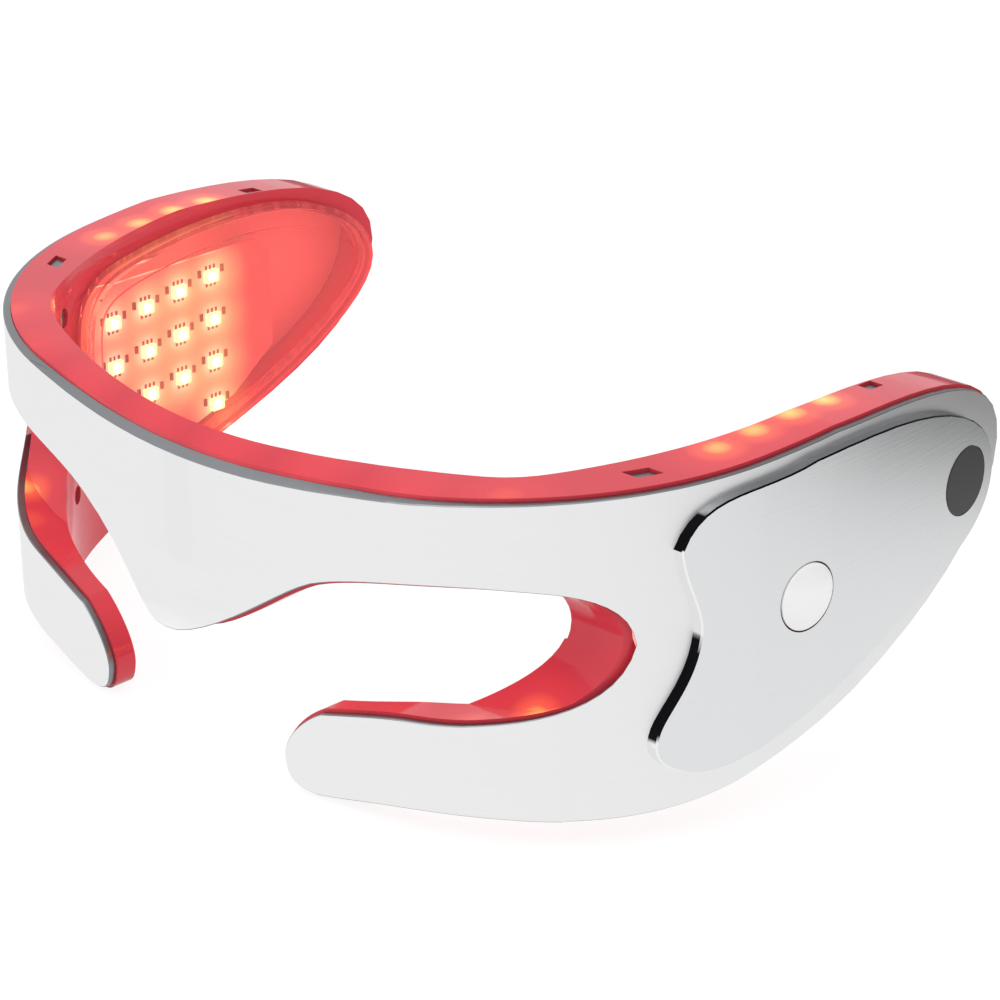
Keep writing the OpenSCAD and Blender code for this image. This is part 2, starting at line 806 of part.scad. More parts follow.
module brow_led_strip() {
    color([0.92, 0.86, 0.7]) translate(shift) intersection() {
        strip(brow_strip_z);
        translate([-half_w, 0, 0]) cube([mask_w, brow_strip_end, tall]);
    }
}

module strip_lamp(arc, turn, edges) {
    on_arc(arc, turn, (edges[0] + edges[1]) / 2) translate([0, 0, -shell_t - strip_t - solder_t]) chip(lamp_size);
}

module brow_leds() {
    color([1, 0.95, 0.7]) translate(shift) for (side = [0, 1]) mirror([side, 0, 0]) {
        for (turn = [2.6, 7.8]) strip_lamp(shell_arcs[0], turn, brow_strip_z);
        for (turn = [15.5, 34]) strip_lamp(shell_arcs[1], turn, brow_strip_z);
    }
}

module cheek_strip() {
    intersection() {
        strip(cheek_strip_z);
        translate([cheek_strip_start, 0, 0]) cube([half_w, cheek_strip_end, tall]);
    }
}

module left_cheek_strip() {
    color([0.92, 0.86, 0.7]) translate(shift) cheek_strip();
}

module right_cheek_strip() {
    color([0.92, 0.86, 0.7]) translate(shift) mirror([1, 0, 0]) cheek_strip();
}

module cheek_leds() {
    color([1, 0.95, 0.7]) translate(shift) for (side = [0, 1]) mirror([side, 0, 0]) {
        strip_lamp(shell_arcs[0], 8.7, cheek_strip_z);
        for (turn = [14.5, 27, 39]) strip_lamp(shell_arcs[1], turn, cheek_strip_z);
    }
}

module at_cell() {
    mirror([1, 0, 0]) on_side(board_turn, cell_z) children();
}

module battery() {
    color([0.75, 0.76, 0.78]) translate(shift) at_cell()
        translate([-cell_size[0] / 2, -cell_size[1] / 2, -cell_depth - cell_size[2]]) cube(cell_size);
}

// A foam pad takes up the room between the flat cell and the curved shell
module battery_foam() {
    color([0.25, 0.25, 0.26]) translate(shift) at_cell()
        translate([-foam_size[0] / 2, -foam_size[1] / 2, -cell_depth]) cube(foam_size);
}

module at_socket() {
    x = side_c[0] + side_r - socket_depth;
    translate([-x, socket_at[0], socket_at[1]]) rotate([socket_tilt, 0, 0]) children();
}

module socket_mouth(grow) {
    r = socket_size[1] / 2 + grow;
    run = socket_size[0] - socket_size[1];
    for (s = [-1, 1]) translate([0, s * run / 2]) circle(r);
    square([2 * r, run], center = true);
}

module charging_socket() {
    color([0.7, 0.71, 0.73]) translate(shift) at_socket() {
        difference() {
            linear_extrude(socket_size[2]) socket_mouth(0);
            translate([0, 0, -1]) linear_extrude(socket_size[2] - socket_t) socket_mouth(-socket_t);
        }
        translate([-socket_t, -socket_size[0] / 3, 1]) cube([2 * socket_t, 2 * socket_size[0] / 3, socket_size[2] - 2]);
    }
}

module housing_screws() {
    color([0.6, 0.61, 0.63]) translate(shift) at_screws() {
        plug(screw_shank[0], screw_seat, screw_seat - screw_shank[1]);
        difference() {
            plug(screw_head[0], screw_seat + screw_head[1], screw_seat);
            translate([0, 0, -screw_seat - screw_head[1] - 0.1]) cylinder(h = 0.6, r = 0.7, $fn = 6);
        }
    }
}

outer_shell();
face_liner();
left_cover_plate();
right_cover_plate();
side_disc();
power_button();
switch_plunger();
switch_body();
control_board();
left_led_board();
right_led_board();
left_temple_leds();
right_temple_leds();
board_resistors();
left_temple_window();
right_temple_window();
brow_led_strip();
brow_leds();
left_cheek_strip();
right_cheek_strip();
cheek_leds();
battery();
battery_foam();
charging_socket();
housing_screws();
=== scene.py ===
import math
import bmesh
import bpy
from mathutils import Matrix, Vector


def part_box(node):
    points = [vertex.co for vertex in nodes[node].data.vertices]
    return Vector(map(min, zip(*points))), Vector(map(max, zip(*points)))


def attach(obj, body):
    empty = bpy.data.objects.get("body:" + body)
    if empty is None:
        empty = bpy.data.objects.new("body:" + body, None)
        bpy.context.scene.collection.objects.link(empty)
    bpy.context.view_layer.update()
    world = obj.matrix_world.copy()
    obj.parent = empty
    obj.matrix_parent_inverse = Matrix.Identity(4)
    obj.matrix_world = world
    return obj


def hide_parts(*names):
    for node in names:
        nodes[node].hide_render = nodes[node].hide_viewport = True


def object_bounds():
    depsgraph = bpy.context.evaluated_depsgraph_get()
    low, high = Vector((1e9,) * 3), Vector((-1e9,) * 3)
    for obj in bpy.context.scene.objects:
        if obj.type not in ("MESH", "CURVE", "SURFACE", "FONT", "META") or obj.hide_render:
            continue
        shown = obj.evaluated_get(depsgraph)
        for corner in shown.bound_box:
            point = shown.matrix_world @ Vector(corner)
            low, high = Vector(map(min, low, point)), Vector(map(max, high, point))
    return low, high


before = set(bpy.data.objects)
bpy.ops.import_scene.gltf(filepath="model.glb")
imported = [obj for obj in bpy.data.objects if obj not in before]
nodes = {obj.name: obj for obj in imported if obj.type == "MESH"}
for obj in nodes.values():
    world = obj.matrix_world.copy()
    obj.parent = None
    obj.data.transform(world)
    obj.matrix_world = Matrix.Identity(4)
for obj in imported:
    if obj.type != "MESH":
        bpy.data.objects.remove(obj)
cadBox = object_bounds()
headCentre = Vector((0.0, 0.003, 0.035))
linerLow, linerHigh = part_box("face_liner")
middle = (linerLow[0] + linerHigh[0]) / 2
# the wrap of the mask seen from above, one arc a row from the brow's middle to the ear: the heading in degrees
# at which it ends, and the place of its centre out from the middle plane and back from the brow's face
wrap = [
    (12.0, 0.0, 0.22286),
    (81.1, 0.034859, 0.058864),
    (93.0, -0.0424, 0.070962),
    (180.0, -0.508361, 0.046542),
]
browFace = -0.05712

meshing = {
    "mergeReach": 2e-6,  # points closer than this are one
    "flatAngle": math.radians(0.2),  # faces that meet flatter than this are one
    "cornerAngle": math.radians(50),  # corners sharper than this are broken
    "detailAngle": math.radians(35),  # corners of lamps and resistors sharper than this are shaded sharp
    "sliverWidth": 4e-6,  # a face narrower than this takes its look from a neighbour
    "wallTilt": 0.02,  # how far a wall may lean and still follow the wrap
    "wallMatch": 0.9995,  # how well it has to face along the wrap's arc
    "softCorner": 0.88,  # faces that look more alike than this are shaded as one
    "roundSteps": 32,
}


def say(stage):
    print("scene:", stage)


def colour(code):
    # sRGB hex to the linear values that Blender takes
    parts = [int(code[i:i + 2], 16) / 255 for i in (1, 3, 5)]
    return tuple(p / 12.92 if p <= 0.04045 else ((p + 0.055) / 1.055) ** 2.4 for p in parts) + (1.0,)


def shaded(code, share):
    return tuple(c * share for c in colour(code)[:3]) + (1.0,)


def grey(level):
    return (level, level, level, 1.0)


def addNode(tree, kind, place, settings=None, values=None, links=None):
    node = tree.nodes.new(kind)
    node.location = place
    for name, value in (settings or {}).items():
        setattr(node, name, value)
    for socket, value in (values or {}).items():
        node.inputs[socket].default_value = value
    for socket, source in (links or {}).items():
        tree.links.new(source, node.inputs[socket])
    return node


# the sockets of a colour mix, by number because its other kinds have the same names
mixA, mixB, mixed = 6, 7, 2


def newMaterial(name):
    made = bpy.data.materials.new(name)
    made.use_nodes = True
    made.node_tree.nodes.clear()
    return made, made.node_tree


def finishMaterial(tree, shader):
    addNode(tree, "ShaderNodeOutputMaterial", (900, 0), links={"Surface": shader})


def toneRamp(tree, place, source, low, high, stops):
    # a hex colour or a level of grey at each share of the way from low to high
    share = addNode(tree, "ShaderNodeMapRange", place, values={"From Min": low, "From Max": high},
                    links={"Value": source})
    ramp = addNode(tree, "ShaderNodeValToRGB", (place[0] + 200, place[1]), links={"Fac": share.outputs["Result"]})
    band = ramp.color_ramp.elements
    while len(band) < len(stops):
        band.new(0.5)
    for element, (position, tone) in zip(band, stops):
        element.position = position
        element.color = colour(tone) if isinstance(tone, str) else grey(tone)
    return ramp.outputs["Color"]


lamp = {
    "size": (0.0035, 0.0028, 0.0009),
    "well": 0.00118,  # radius of the open well
    "lens": 0.00098,  # radius of the phosphor at the well's foot
    "lensLift": 0.00001,  # how far the phosphor stands clear of the well's foot
    "lensDome": 0.00012,
    "wellDepth": 0.00022,
    "round": 0.00012,
    "pad": (0.00055, 0.0011, 0.00012),
    "padPitch": 0.0011,
    "padTuck": 0.0002,  # how far a contact goes in under the housing
    "padRound": 0.00002,
    "chip": (0.0008, 0.0016, 0.00045),
    "chipCap": 0.0003,
    "chipRound": 0.00003,
    "capRound": 0.00004,
    "chipWaist": 0.96,  # width of a resistor's body as a share of its caps'
}


def islands(node):
    # the corners of each loose block in a node's mesh, in the mesh's own order, so that each run gives the same
    bm = bmesh.new()
    bm.from_mesh(nodes[node].data)
    bmesh.ops.remove_doubles(bm, verts=bm.verts, dist=meshing["mergeReach"])
    seen = set()
    found = []
    for start in bm.verts:
        if start in seen:
            continue
        seen.add(start)
        group, queue = [], [start]
        while queue:
            v = queue.pop()
            group.append(v.co.copy())
            for e in v.link_edges:
                other = e.other_vert(v)
                if other not in seen:
                    seen.add(other)
                    queue.append(other)
        found.append(group)
    bm.free()
    return found


def seatOf(corners, size):
    # where a small block sits: the middle of its back, and its turn with Z out towards the face
    first = corners[0]
    reach = [(c - first) for c in corners[1:]]
    axes = [min(reach, key=lambda r, s=s: abs(r.length - s)).normalized() for s in size]
    centre = sum(corners, Vector()) / len(corners)
    inward = headCentre - centre
    out = axes[2] if axes[2].dot(inward) > 0 else -axes[2]
    up = axes[1] if axes[1].z > 0 else -axes[1]
    along = up.cross(out)
    turn = Matrix((along, up, out)).transposed()
    return centre - out * size[2] / 2, turn.to_quaternion()


lampNodes = ["left_temple_leds", "right_temple_leds", "brow_leds", "cheek_leds"]
lampSeats = {n: [seatOf(c, lamp["size"]) for c in islands(n)] for n in lampNodes}
templeSpots = [p for p, turn in lampSeats["left_temple_leds"]]
frontSpots = [p for n in ("brow_leds", "cheek_leds") for p, turn in lampSeats[n] if p.x > middle]

finishes = {
    "shellFace": "#f5f5f6",
    # partly painted reflection: the cut edge's grey is darker for the dim room it mirrors from above
    "shellEdge": "#8f9194",
    # painted reflection: the bright tone of the plate's polished edge, for the white floor it mirrors
    "plate": "#e9eaeb",
    "plateEdgePaintedBright": "#f4f4f4",
    "liner": "#de3a49",
    # painted shade: the deep red mixed into the liner's inner corners
    "linerPaintedShade": "#8e0f1e",
    "linerClear": 0.14,
    "window": "#ffc0ba",
    "button": "#fbfbfb",
    "disc": "#2e2e30",
    "board": "#f3a295",
    # the red light painted into the copper pads' colour
    "pads": "#4a0a1c",
    "ledBody": "#fff0b8",
    "phosphor": "#fff6c0",
    "lensGlow": 12.0,
    "bodyGlow": 2.4,
    "glowReach": 0.012,  # how far from a lamp its painted glow is followed, in metres
    "glowBlend": 0.003,  # over what distance the glows of two lamps run together
    "paintedShadeReach": 0.004,  # how far the painted shade of an inner corner runs out, in metres
    "lidReach": 0.0165,  # how far the painted glow runs up inside the wall to the lid, in metres
    # widths in millimetres; the brush lines are drawn wider than real ones, which are too fine to show
    "brushLine": 0.35,
    "streakLength": 50,  # length of a brush line as a multiple of its width
    "flowLine": 22.2,
    "phosphorGrain": 0.333,
    "maskBlotch": 3.85,
    "polishWear": 1.11,
}
# colours of the painted glow from the lamp outwards, by share of its reach
boardGlow = [(0.0, "#fffce1"), (0.2, "#fff3c4"), (0.32, "#edbc86"), (0.52, "#c48161"), (0.8, "#863c37"),
             (1.0, "#6c292a")]
linerGlow = [(0.0, "#ffe781"), (0.12, "#f9bc59"), (0.27, "#ad5530"), (0.5, "#6f2727"), (1.0, "#45191e")]
windowGlow = [(0.0, "#aa8b45"), (0.3, "#865538"), (0.7, "#69292b"), (1.0, "#65272a")]


def brushedSteel(name, base, roughness, line, depth):
    # stainless sheet, brushed from the brow to the ears: long soft streaks that run level round the part
    made, tree = newMaterial(name)
    spot = addNode(tree, "ShaderNodeTexCoord", (-1100, 0))
    level = 1 / finishes["streakLength"]
    stretch = addNode(tree, "ShaderNodeMapping", (-900, 0), values={"Scale": (level, level, 1.0)},
                      links={"Vector": spot.outputs["Object"]})
    streaks = addNode(tree, "ShaderNodeTexNoise", (-700, 0),
                      values={"Scale": 1000.0 / line, "Detail": 3.0, "Roughness": 0.6},
                      links={"Vector": stretch.outputs["Vector"]})
    rough = addNode(tree, "ShaderNodeMapRange", (-400, -150),
                    values={"To Min": roughness * 0.8, "To Max": roughness * 1.25},
                    links={"Value": streaks.outputs["Fac"]})
    tone = addNode(tree, "ShaderNodeMix", (-400, 150), {"data_type": "RGBA"},
                   {mixA: shaded(base, 0.95), mixB: colour(base)}, {"Factor": streaks.outputs["Fac"]})
    bump = addNode(tree, "ShaderNodeBump", (-400, -400), values={"Strength": depth, "Distance": 0.00004},
                   links={"Height": streaks.outputs["Fac"]})
    shader = addNode(tree, "ShaderNodeBsdfPrincipled", (200, 0), values={"Metallic": 1.0},
                     links={"Base Color": tone.outputs[mixed], "Roughness": rough.outputs["Result"],
                            "Normal": bump.outputs["Normal"]})
    finishMaterial(tree, shader.outputs["BSDF"])
    return made


def mouldedPlastic(name, base, roughness, grain, coat=0.0):
    # injection-moulded plastic: an even colour with a fine grain left by the tool
    made, tree = newMaterial(name)
    spot = addNode(tree, "ShaderNodeTexCoord", (-900, 0))
    speck = addNode(tree, "ShaderNodeTexNoise", (-650, 0), values={"Scale": 1000.0 / grain, "Detail": 2.0},
                    links={"Vector": spot.outputs["Object"]})
    rough = addNode(tree, "ShaderNodeMapRange", (-400, -100),
                    values={"To Min": roughness * 0.85, "To Max": roughness * 1.15},
                    links={"Value": speck.outputs["Fac"]})
    bump = addNode(tree, "ShaderNodeBump", (-400, -350), values={"Strength": 0.08, "Distance": 0.00003},
                   links={"Height": speck.outputs["Fac"]})
    shader = addNode(tree, "ShaderNodeBsdfPrincipled", (200, 0),
                     values={"Base Color": colour(base), "Coat Weight": coat, "Coat Roughness": 0.08},
                     links={"Roughness": rough.outputs["Result"], "Normal": bump.outputs["Normal"]})
    finishMaterial(tree, shader.outputs["BSDF"])
    return made


def lampReach(tree, spots):
    # distance from the surface to the nearest lamp, which sets a painted glow; both halves of the mask are alike,
    # so one half's lamps serve both, and light that runs up inside a wall brings the lamps nearer to a lid that
    # faces up, so the lid gets more of the painted glow
    spot = addNode(tree, "ShaderNodeTexCoord", (-2500, 0))
    parts = addNode(tree, "ShaderNodeSeparateXYZ", (-2300, 0), links={0: spot.outputs["Object"]})
    across = addNode(tree, "ShaderNodeMath", (-2150, 0), {"operation": "SUBTRACT"}, {1: middle},
                     {0: parts.outputs["X"]})
    folded = addNode(tree, "ShaderNodeMath", (-2000, 0), {"operation": "ABSOLUTE"},
                     links={0: across.outputs["Value"]})
    faced = addNode(tree, "ShaderNodeNewGeometry", (-2500, -300))
    tilt = addNode(tree, "ShaderNodeSeparateXYZ", (-2300, -300), links={0: faced.outputs["Normal"]})
    upward = addNode(tree, "ShaderNodeMath", (-2150, -300), {"operation": "MAXIMUM"}, {1: 0.0},
                     {0: tilt.outputs["Z"]})
    raised = addNode(tree, "ShaderNodeMath", (-2000, -200), {"operation": "MULTIPLY_ADD"},
                     {1: -finishes["lidReach"]}, {0: upward.outputs["Value"], 2: parts.outputs["Z"]})
    place = addNode(tree, "ShaderNodeCombineXYZ", (-1850, 0),
                    links={"X": folded.outputs["Value"], "Y": parts.outputs["Y"], "Z": raised.outputs["Value"]})
    nearest = None
    for i, s in enumerate(spots):
        away = addNode(tree, "ShaderNodeVectorMath", (-1650, -150 * i), {"operation": "DISTANCE"},
                       {1: (abs(s.x - middle), s.y, s.z)}, {0: place.outputs["Vector"]})
        if nearest is None:
            nearest = away.outputs["Value"]
            continue
        joined = addNode(tree, "ShaderNodeMath", (-1450, -150 * i), {"operation": "SMOOTH_MIN"},
                         {2: finishes["glowBlend"]}, {0: nearest, 1: away.outputs["Value"]})
        nearest = joined.outputs["Value"]
    return nearest


# painted glow: an emission colour by distance to the nearest lamp, on parts that are no lamps
def paintedLampGlow(tree, spots, stops):
    return toneRamp(tree, (-1200, -200), lampReach(tree, spots), 0.0, finishes["glowReach"], stops)


def clearPlastic(name, base, paintedCreaseShade, clear, index, roughness, ripple, shine, spots, stops):
    # tinted translucent polycarbonate: part of the light goes through the wall, a painted glow stands in for the
    # lamps lighting it from within, and painted shade darkens its inner corners to a deeper red than its faces
    made, tree = newMaterial(name)
    spot = addNode(tree, "ShaderNodeTexCoord", (-900, 200))
    flow = addNode(tree, "ShaderNodeTexNoise", (-650, 200),
                   values={"Scale": 1000.0 / finishes["flowLine"], "Detail": 3.0, "Distortion": 0.8},
                   links={"Vector": spot.outputs["Object"]})
    tone = addNode(tree, "ShaderNodeMix", (-400, 250), {"data_type": "RGBA"},
                   {mixA: shaded(base, 0.88), mixB: colour(base)}, {"Factor": flow.outputs["Fac"]})
    # painted shade: corners that ambient occlusion finds are mixed towards the crease colour
    creaseOcclusion = addNode(tree, "ShaderNodeAmbientOcclusion", (-400, 500), {"samples": 6},
                     {"Distance": finishes["paintedShadeReach"]})
    creaseShadeAmount = addNode(tree, "ShaderNodeMapRange", (-200, 500), values={"From Min": 0.15, "From Max": 0.85},
                   links={"Value": creaseOcclusion.outputs["AO"]})
    creaseShaded = addNode(tree, "ShaderNodeMix", (0, 350), {"data_type": "RGBA"}, {mixA: colour(paintedCreaseShade)},
                      {"Factor": creaseShadeAmount.outputs["Result"], mixB: tone.outputs[mixed]})
    bump = addNode(tree, "ShaderNodeBump", (-400, -350), values={"Strength": ripple, "Distance": 0.0002},
                   links={"Height": flow.outputs["Fac"]})
    shader = addNode(tree, "ShaderNodeBsdfPrincipled", (200, 0),
                     values={"Roughness": roughness, "IOR": index, "Transmission Weight": clear,
                             "Emission Strength": 1.0, "Specular IOR Level": shine,
                             "Coat Weight": shine * 0.6, "Coat Roughness": 0.06},
                     links={"Base Color": creaseShaded.outputs[mixed], "Normal": bump.outputs["Normal"],
                            "Emission Color": paintedLampGlow(tree, spots, stops)})
    finishMaterial(tree, shader.outputs["BSDF"])
    return made


def litSurface(name, base, patch, strength, roughness):
    # a surface that gives light of its own, a little uneven: the housing and the phosphor of a lamp
    made, tree = newMaterial(name)
    spot = addNode(tree, "ShaderNodeTexCoord", (-900, 0))
    grain = addNode(tree, "ShaderNodeTexNoise", (-650, 0),
                    values={"Scale": 1000.0 / finishes["phosphorGrain"], "Detail": 2.0},
                    links={"Vector": spot.outputs["Object"]})
    tone = addNode(tree, "ShaderNodeMix", (-400, 150), {"data_type": "RGBA"},
                   {mixA: colour(patch), mixB: colour(base)}, {"Factor": grain.outputs["Fac"]})
    shader = addNode(tree, "ShaderNodeBsdfPrincipled", (200, 0),
                     values={"Roughness": roughness, "Emission Strength": strength},
                     links={"Base Color": tone.outputs[mixed], "Emission Color": tone.outputs[mixed]})
    finishMaterial(tree, shader.outputs["BSDF"])
    return made


def solderMask(name, base, patch, spots, strength):
    # solder mask over a board, with the lamps' light painted on as a glow: bright and warm round each lamp, and
    # faintly blotched
    made, tree = newMaterial(name)
    spot = addNode(tree, "ShaderNodeTexCoord", (-1100, 300))
    cloud = addNode(tree, "ShaderNodeTexNoise", (-700, 300),
                    values={"Scale": 1000.0 / finishes["maskBlotch"], "Detail": 3.0, "Roughness": 0.6},
                    links={"Vector": spot.outputs["Object"]})
    tone = addNode(tree, "ShaderNodeMix", (-400, 250), {"data_type": "RGBA"},
                   {mixA: colour(patch), mixB: colour(base)}, {"Factor": cloud.outputs["Fac"]})
    shader = addNode(tree, "ShaderNodeBsdfPrincipled", (200, 0),
                     values={"Roughness": 0.4, "Emission Strength": strength},
                     links={"Base Color": tone.outputs[mixed], "Emission Color": paintedLampGlow(tree, spots, boardGlow)})
    finishMaterial(tree, shader.outputs["BSDF"])
    return made


def polishedWall(name, paintedFloorTone, paintedRoomTone, satin):
    # polished cut edge of the plate, its reflection painted into its colour by which way it faces: a painted white
    # floor where it leans down, a painted dim room above that, and a painted satin grey where it turns up
    made, tree = newMaterial(name)
    spot = addNode(tree, "ShaderNodeTexCoord", (-1100, -200))
    faced = addNode(tree, "ShaderNodeNewGeometry", (-1100, 200))
    parts = addNode(tree, "ShaderNodeSeparateXYZ", (-900, 200), links={0: faced.outputs["Normal"]})
    # painted reflection: the colour goes with how far the face leans up or down
    paintedReflection = toneRamp(tree, (-700, 200), parts.outputs["Z"], -1.0, 1.0,
                        [(0.53, paintedFloorTone), (0.57, paintedRoomTone), (0.88, paintedRoomTone), (0.92, satin)])
    wear = addNode(tree, "ShaderNodeTexNoise", (-700, -200),
                   values={"Scale": 1000.0 / finishes["polishWear"], "Detail": 2.0},
                   links={"Vector": spot.outputs["Object"]})
    rough = addNode(tree, "ShaderNodeMapRange", (-400, -200), values={"To Min": 0.08, "To Max": 0.16},
                    links={"Value": wear.outputs["Fac"]})
    shader = addNode(tree, "ShaderNodeBsdfPrincipled", (200, 0), values={"Metallic": 1.0},
                     links={"Base Color": paintedReflection, "Roughness": rough.outputs["Result"]})
    finishMaterial(tree, shader.outputs["BSDF"])
    return made


# satin sheet: nearly white, with streaks that barely show
shellSteel = brushedSteel("Satin stainless sheet", finishes["shellFace"],
                          roughness=0.38, line=finishes["brushLine"], depth=0.08)
# sheared metal: a matt grey line round the sheet's openings, its grey partly real and partly a painted reflection
# of the dim room above
cutEdge = brushedSteel("Cut steel edge", finishes["shellEdge"], roughness=0.35, line=0.2, depth=0.1)
# a closer brush under a low sheen: white at the plate's foot, grey at its top, streaks that show
plateSteel = brushedSteel("Brushed stainless plate", finishes["plate"],
                          roughness=0.25, line=finishes["brushLine"], depth=0.2)
# polished metal with a painted reflection: a black and white line along the plate's front edge
polishedEdge = polishedWall("Polished stainless edge", finishes["plateEdgePaintedBright"], paintedRoomTone="#151517", satin="#b4b6b9")
# dyed red through, with a painted glow that goes yellow over the lamps and painted shade that goes deep red in its
# inner corners
redLiner = clearPlastic("Red translucent polycarbonate", finishes["liner"], finishes["linerPaintedShade"],
                        clear=finishes["linerClear"], index=1.45, roughness=0.12, ripple=0.1, shine=0.25,
                        spots=frontSpots + templeSpots, stops=linerGlow)
# the same plastic with clear faces: the board behind shows through red, hardly bent, with a faint painted glow
# round the lamps
redWindow = clearPlastic("Red clear polycarbonate window", finishes["window"], finishes["window"],
                         clear=0.94, index=1.08, roughness=0.04, ripple=0.02, shine=0.3,
                         spots=templeSpots, stops=windowGlow)
# lacquer on the sheet's inner face: it throws the lamps' light back through the liner
reflector = mouldedPlastic("White reflector lacquer", "#ffc9c4", roughness=0.5, grain=0.6)
# gloss plastic: a white with a soft highlight
whiteCap = mouldedPlastic("White gloss ABS cap", finishes["button"], roughness=0.22, grain=0.6, coat=0.4)
# dull plastic: dark and even
darkDisc = mouldedPlastic("Dark grey ABS disc", finishes["disc"], roughness=0.38, grain=0.3)
blackPlastic = mouldedPlastic("Black nylon", "#202022", roughness=0.5, grain=0.3)
# lacquered boards and films: a painted glow of the lamps on a pale ground, or a plain green one without lamps
greenBoard = mouldedPlastic("Green solder mask", "#1d6b3f", roughness=0.35, grain=0.5)
ledMask = solderMask("Pale solder mask", finishes["board"], "#e77f78", templeSpots, strength=1.05)
flexFilm = solderMask("Cream flexible film", "#efd9ae", "#dcb98a", frontSpots, strength=0.8)
# the lamps' own light: a yellow housing round a white-hot middle
lampBody = litSurface("White lamp housing", finishes["ledBody"], "#ffe9a0", finishes["bodyGlow"], roughness=0.45)
lampPhosphor = litSurface("Yellow phosphor", finishes["phosphor"], "#ffffff", finishes["lensGlow"], roughness=0.4)
# tin: bright small glints
tinnedLead = brushedSteel("Tinned contact", "#d9d9d6", roughness=0.28, line=0.2, depth=0.1)
# copper and ceramic with the red light painted into their colour: near black marks round each lamp
darkPad = mouldedPlastic("Dark copper pad", finishes["pads"], roughness=0.45, grain=0.2)
chipCeramic = mouldedPlastic("Dark chip ceramic", "#47101f", roughness=0.45, grain=0.2)
# crinkled foil and open-cell foam, both inside the shell
cellFoil = brushedSteel("Cell foil", "#c4c6c9", roughness=0.4, line=1.2, depth=0.4)
blackFoam = mouldedPlastic("Black foam", "#1c1c1d", roughness=0.95, grain=0.7)
say("finishes made")

plain = {
    "switch_plunger": blackPlastic,
    "switch_body": blackPlastic,
    "control_board": greenBoard,
    "left_led_board": ledMask,
    "right_led_board": ledMask,
    "brow_led_strip": flexFilm,
    "left_cheek_strip": flexFilm,
    "right_cheek_strip": flexFilm,
    "battery": cellFoil,
    "battery_foam": blackFoam,
    "charging_socket": tinnedLead,
    "housing_screws": tinnedLead,
}
for name, finish in plain.items():
    nodes[name].data.materials.clear()
    nodes[name].data.materials.append(finish)


def addPiece(name, mesh, slot, *stands, body="mask"):
    made = bpy.data.objects.new(name, mesh)
    bpy.context.scene.collection.objects.link(made)
    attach(made, body)
    if stands:
        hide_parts(*stands)
    return made


def mergedCopy(node):
    bm = bmesh.new()
    bm.from_mesh(nodes[node].data)
    bmesh.ops.remove_doubles(bm, verts=bm.verts, dist=meshing["mergeReach"])
    bmesh.ops.dissolve_limit(bm, angle_limit=meshing["flatAngle"], verts=bm.verts, edges=bm.edges)
    bmesh.ops.recalc_face_normals(bm, faces=bm.faces)
    return bm


def isCorner(edge):
    return len(edge.link_faces) == 2 and edge.calc_face_angle(0) > meshing["cornerAngle"]


def outward(face):
    # how far a face looks away from the head, leaving out how it leans
    away = face.calc_center_median() - headCentre
    away.z = 0
    return face.normal.dot(away.normalized())


def wallNormal(spot):
    # which way the wrapped wall looks at a spot, from the arc that it follows there
    for last, x, y in wrap:
        away = Vector((abs(spot.x - middle) - x, spot.y - browFace - y, 0)).normalized()
        if math.degrees(math.atan2(away.x, -away.y)) <= last:
            break
    return Vector((math.copysign(away.x, spot.x - middle) if away.x > 0 else away.x, away.y, 0))


def easedMesh(name, bm):
    # smooth shading that slivers can't bend: walls look along their arcs, other faces along the mean of those
    # beside them
    bm.normal_update()
    areas = {f: f.calc_area() for f in bm.faces}
    looks = []
    for f in bm.faces:
        f.smooth = True
        lead = f
        if areas[f] < meshing["sliverWidth"] * f.calc_perimeter():
            lead = max((g for e in f.edges for g in e.link_faces), key=areas.get)
            f.material_index = lead.material_index
        wall = wallNormal(lead.calc_center_median())
        onWall = (abs(lead.normal.z) < meshing["wallTilt"]
                  and abs(lead.normal.dot(wall)) > meshing["wallMatch"])
        for corner in f.loops:
            if onWall:
                look = wallNormal(corner.vert.co) * math.copysign(1, lead.normal.dot(wall))
            else:
                look = sum((g.normal * areas[g] for g in corner.vert.link_faces
                            if g.material_index == lead.material_index
                            and g.normal.dot(lead.normal) > meshing["softCorner"]), Vector())
            if look.length == 0:
                look = lead.normal
            looks.append(tuple(look.normalized()))
    # where more than two faces meet at an edge each takes its own copy, or the renderer mixes their normals
    bmesh.ops.split_edges(bm, edges=[e for e in bm.edges if len(e.link_faces) > 2])
    mesh = bpy.data.meshes.new(name)
    bm.to_mesh(mesh)
    bm.free()
    mesh.normals_split_custom_set(looks)
    return mesh


sheets = {
    "shellChamfer": 0.00018,
    "plateChamfer": 0.00025,
    "discRounding": 0.0002,
    "buttonFullness": 0.45,  # how far the cap's shading leans out at its rim, 1 being 45 degrees
    "holeMargin": 0.0015,  # a rim this close round a piece in its hole keeps its sharp corner
    "outerRim": 0.75,  # the outer rim's faces look at least this straight out
    "edgeFace": 0.6,  # a face that looks less straight out than this is cut edge
    "capTop": 0.8,  # the cap's top looks at least this straight out
}


def nearBox(edge, node):
    # whether an edge runs along the rim of the hole that a round piece sits in
    low, high = (Vector(c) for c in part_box(node))
    away = (edge.verts[0].co + edge.verts[1].co) / 2 - (low + high) / 2
    return away.length < (high.z - low.z) / 2 + sheets["holeMargin"]


